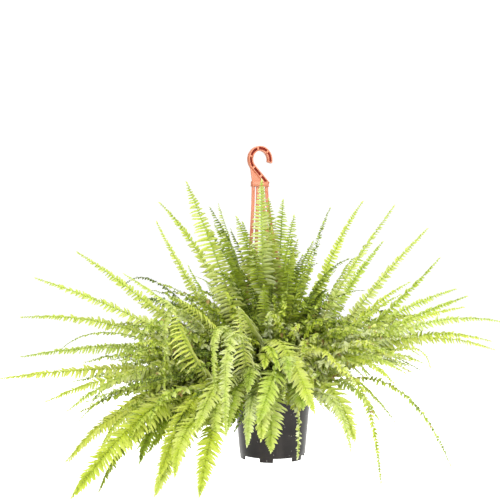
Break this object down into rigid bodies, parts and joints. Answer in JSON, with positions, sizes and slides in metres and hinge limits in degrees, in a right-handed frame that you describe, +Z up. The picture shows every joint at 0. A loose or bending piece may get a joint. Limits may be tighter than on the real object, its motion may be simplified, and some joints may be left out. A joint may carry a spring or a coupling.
{
  "type": "potted fern in a hanging pot",
  "caption": "Sword fern with long arching pinnate fronds, growing in a round plastic nursery pot that hangs by a moulded hook with four straps.",
  "frame": {"origin": "seat of the hook: the crest of its inner curve, which rests on whatever the pot hangs from", "axes": "+Z up, -Y the front as pictured, +X to the right of the picture"},
  "size_m": [0.954, 0.7408, 0.6109],
  "materials": {
    "hanger": "terracotta-coloured moulded plastic, slightly translucent",
    "pot": "charcoal injection-moulded plastic, semi-matt with light scuffs",
    "soil": "dark bark and peat potting mix",
    "frond": "fresh leaf tissue, satin, lighter below"
  },
  "bodies": {
    "root": {"hanger_hook": "hanger", "hanger_strap_1": "hanger", "hanger_strap_2": "hanger", "hanger_strap_3": "hanger", "hanger_strap_4": "hanger", "pot": "pot", "soil": "soil", "frond_01": "frond", "frond_02": "frond", "frond_03": "frond", "frond_04": "frond", "frond_05": "frond", "frond_06": "frond", "frond_07": "frond", "frond_08": "frond", "frond_09": "frond", "frond_10": "frond", "frond_11": "frond", "frond_12": "frond", "frond_13": "frond", "frond_14": "frond", "frond_15": "frond", "frond_16": "frond", "frond_17": "frond", "frond_18": "frond", "frond_19": "frond", "frond_20": "frond", "frond_21": "frond", "frond_22": "frond", "frond_23": "frond", "frond_24": "frond", "frond_25": "frond", "frond_26": "frond", "frond_27": "frond", "frond_28": "frond", "frond_29": "frond", "frond_30": "frond", "frond_31": "frond", "frond_32": "frond", "frond_33": "frond", "frond_34": "frond", "frond_35": "frond", "frond_36": "frond", "frond_37": "frond", "frond_38": "frond", "frond_39": "frond", "frond_40": "frond", "frond_41": "frond", "frond_42": "frond", "frond_43": "frond", "frond_44": "frond", "frond_45": "frond", "frond_46": "frond", "frond_47": "frond", "frond_48": "frond", "frond_49": "frond", "frond_50": "frond", "frond_51": "frond", "frond_52": "frond", "frond_53": "frond"}
  },
  "joints": []
}
